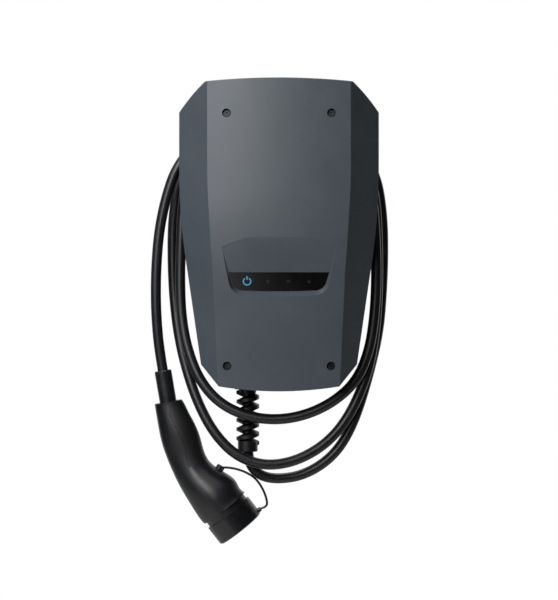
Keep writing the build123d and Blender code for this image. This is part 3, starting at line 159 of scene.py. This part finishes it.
# Steel screws: the cover's are dark steel with a worn gleam, their tone darkened further as painted shade for the
# deep recesses they sit in; the ones inside are zinc plated, pale and bright
DARK_STEEL_WITH_RECESS_SHADE = finish("dark_steel_painted_recess_shade", "#3c3e41", "#4a4b4d", 0.33, 0.6, 0.01, 0.08, 6.0, Metallic=1.0)
ZINC_STEEL = finish("zinc_plated_steel", "#b9bcc0", "#9d9fa0", 0.3, 0.6, 0.01, 0.08, 6.0, Metallic=1.0)
# Silver-plated copper contacts: warm white metal, slightly tarnished
SILVER = finish("silver_plated_copper", "#cfccc2", "#b3ac9a", 0.22, 0.6, 0.006, 0.06, 5.0, Metallic=1.0)
# Glass fibre laminate under green solder mask: glossy, with the weave's slight relief
BOARD_FR4 = finish("solder_masked_laminate", "#12402a", "#1b5236", 0.3, 1.4, 0.02, 0.05, 9.0, IOR=1.52)
# Polyester of the relays and the sensor: crisp satin black
RELAY_PBT = finish("moulded_pbt", "#222326", "#2d2e31", 0.42, 0.9, 0.02, 0.05, 12.0, IOR=1.55)
# Grey polyamide of the terminals: the one pale plastic inside
TERMINAL_PA = finish("moulded_grey_polyamide", "#7d8284", "#8b8f90", 0.45, 0.9, 0.02, 0.05, 12.0, IOR=1.53)
# Brown insulation of the conductors: smooth and slightly waxy
WIRE_PVC = finish("extruded_pvc", "#4a3325", "#5b4232", 0.35, 1.4, 0.01, 0.05, 10.0, IOR=1.54)

DRESS = {
    COVER_ABS: ["front_cover"],
    HOUSING_ABS: ["rear_housing", "cover_flange", "cable_clamp"],
    WINDOW_ACRYLIC: ["display_window"],
    POWER_MARK: ["power_light"],
    STATUS_MARK: ["status_lights"],
    CABLE_PUR: ["cable_tail", "cable_sleeve"],
    PLUG_NYLON: ["connector_housing", "connector_nose", "pin_carrier", "gland_body", "gland_locknut"],
    GRIP_TPE: ["grip_cover"],
    CAP_TPE: ["protective_cap", "tether_clip"],
    SPIRAL_TPU: ["bend_protector"],
    SEAL_RUBBER: ["cover_gasket", "gland_seal", "supply_grommet"],
    # The cover's screws take the dark steel, toned down as painted shade for their recesses
    DARK_STEEL_WITH_RECESS_SHADE: ["cover_screws"],
    ZINC_STEEL: ["board_screws", "display_screws", "clamp_screws"],
    SILVER: ["contact_sockets"],
    BOARD_FR4: ["main_board", "display_board"],
    RELAY_PBT: ["power_relays", "fault_current_sensor"],
    TERMINAL_PA: ["supply_terminals", "output_terminals"],
    WIRE_PVC: ["output_conductors"],
}
for material, names in DRESS.items():
    for name in names:
        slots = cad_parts[name].data.materials
        slots.clear()
        slots.append(material)


def run(name, places, thickness, rings):
    """A round strand along one smooth spline that bends round places, all in millimetres. rings is
    how many rings of faces stand between two places."""
    curve = bpy.data.curves.new(name, "CURVE")
    curve.dimensions = "3D"
    curve.resolution_u = rings
    curve.bevel_depth = thickness / 2000
    curve.bevel_resolution = 7
    curve.use_fill_caps = True
    spline = curve.splines.new("NURBS")
    spline.points.add(len(places) - 1)
    for point, place in zip(spline.points, places):
        point.co = (place[0] / 1000, place[1] / 1000, place[2] / 1000, 1.0)
    spline.use_endpoint_u = True
    spline.order_u = 3
    strand = bpy.data.objects.new(name, curve)
    bpy.context.scene.collection.objects.link(strand)
    return strand


cable = run("wound_cable", ROUTE, CABLE_D, 10)
cable.data.materials.append(CABLE_PUR)
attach(cable, "station")
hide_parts("charge_cable")
# The tether's strand is made a mesh; it runs between the connector and the cap
strand = run("tether_line", TETHER, TETHER_D, 12)
bpy.context.view_layer.update()
mesh = bpy.data.meshes.new_from_object(strand.evaluated_get(bpy.context.evaluated_depsgraph_get()))
bpy.data.objects.remove(strand)
tether = bpy.data.objects.new("cap_tether_strand", mesh)
bpy.context.scene.collection.objects.link(tether)
mesh.materials.clear()
mesh.materials.append(CAP_TPE)
mesh.shade_smooth()
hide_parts("cap_tether")
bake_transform(tether)

# Studio: a white surround that the camera and the gloss see, and a pale floor well below
scene = bpy.context.scene
scene.view_settings.view_transform = "Standard"
world = bpy.data.worlds.new("studio")
scene.world = world
world.use_nodes = True
tree = world.node_tree
tree.nodes.clear()
seen = add(tree, "ShaderNodeLightPath")
direct = add(tree, "ShaderNodeMath", {"operation": "MAXIMUM"}, _0=seen.outputs["Is Camera Ray"],
             _1=seen.outputs["Is Transmission Ray"])
direct = add(tree, "ShaderNodeMath", {"operation": "MAXIMUM"}, _0=direct.outputs[0],
             _1=seen.outputs["Is Glossy Ray"])
# Other rays see a faint surround only, so that the lamps do the modelling
strength = add(tree, "ShaderNodeMapRange", Value=direct.outputs[0], To_Min=0.04, To_Max=1.0)
surround = add(tree, "ShaderNodeBackground", Color=(1.0, 1.0, 1.0, 1.0), Strength=strength.outputs[0])
add(tree, "ShaderNodeOutputWorld", Surface=surround.outputs[0])


def lamp(name, place, size, power):
    """A square soft box that faces the station."""
    light = bpy.data.lights.new(name, "AREA")
    light.size = size
    light.energy = power
    box = bpy.data.objects.new(name, light)
    box.location = place
    box.rotation_euler = (Vector(LAMPS_AIM_AT) - Vector(place)).to_track_quat("-Z", "Y").to_euler()
    scene.collection.objects.link(box)


# Place and side in metres, power in watts. The key lights the left facet and the top, the front
# one draws the bright band down the panel, the side one lifts the cable and the overhead one the floor
lamp("key_left", (-1.15, -1.1, 1.3), 0.7, 38.0)
lamp("front_left", (-0.75, -2.4, 0.65), 1.0, 22.0)
lamp("side_left", (-1.2, -1.3, -0.1), 0.7, 1.5)
lamp("overhead", (0.0, 0.5, 2.6), 1.6, 40.0)


def card(name, corners, colour):
    """A studio card, given by its corners in metres. It shades and darkens, but no camera sees it."""
    mesh = bpy.data.meshes.new(name)
    mesh.from_pydata(corners, [], [(0, 1, 2, 3)])
    material = bpy.data.materials.new(name)
    material.use_nodes = True
    shader = material.node_tree.nodes["Principled BSDF"]
    shader.inputs["Base Color"].default_value = linear(colour)
    shader.inputs["Roughness"].default_value = 0.9
    mesh.materials.append(material)
    piece = bpy.data.objects.new(name, mesh)
    scene.collection.objects.link(piece)
    piece.visible_camera = False


# At the sides: the right facet goes nearly black and the left one keeps a little sheen
card("dark_card_right", [(1.3, 0.6, -1.4), (1.3, -3.4, -1.4), (1.3, -3.4, 1.8), (1.3, 0.6, 1.8)], CARD_BLACK)
card("grey_card_left", [(-1.3, 0.9, -1.4), (-1.3, -1.6, -1.4), (-1.3, -1.6, 1.8), (-1.3, 0.9, 1.8)], CARD_GREY)
# In front: the panel's right part and the black plastics mirror no white surround
card("dark_card_front", [(-0.4, -3.2, -1.6), (1.6, -3.2, -1.6), (1.6, -3.2, 1.8), (-0.4, -3.2, 1.8)], CARD_BLACK)
card("dark_card_low", [(-2.4, -3.2, -1.6), (-0.4, -3.2, -1.6), (-0.4, -3.2, 0.15), (-2.4, -3.2, 0.15)], CARD_BLACK)
# Low in front: the window, which leans down, is black on the right and paler on the left
card("dark_card_below", [(-0.12, -3.2, -3.6), (1.6, -3.2, -3.6), (1.6, -3.2, -1.6), (-0.12, -3.2, -1.6)], CARD_BLACK)

# Painted board, dull and nearly even. It ends at the side cards and short of what the window mirrors
floor_mesh = bpy.data.meshes.new("pale_floor")
floor_mesh.from_pydata([(-1.28, -1.0, FLOOR_Z), (1.28, -1.0, FLOOR_Z), (1.28, 1.6, FLOOR_Z), (-1.28, 1.6, FLOOR_Z)],
                       [], [(0, 1, 2, 3)])
floor_finish = finish("painted_floor", "#e9e9e7", "#dededb", 0.8, 6.0, 0.05, 0.04, 300.0, IOR=1.5)
floor_mesh.materials.append(floor_finish)
floor = bpy.data.objects.new("pale_floor", floor_mesh)
scene.collection.objects.link(floor)

camera_data = bpy.data.cameras.new("camera")
camera_data.sensor_fit = "VERTICAL"
camera_data.sensor_height = SENSOR_MM
camera_data.lens = FOCAL_MM
camera_data.clip_end = 20.0
camera = bpy.data.objects.new("camera", camera_data)
camera.location = CAMERA_AT
camera.rotation_euler = (radians(90), 0, 0)
scene.collection.objects.link(camera)
scene.camera = camera
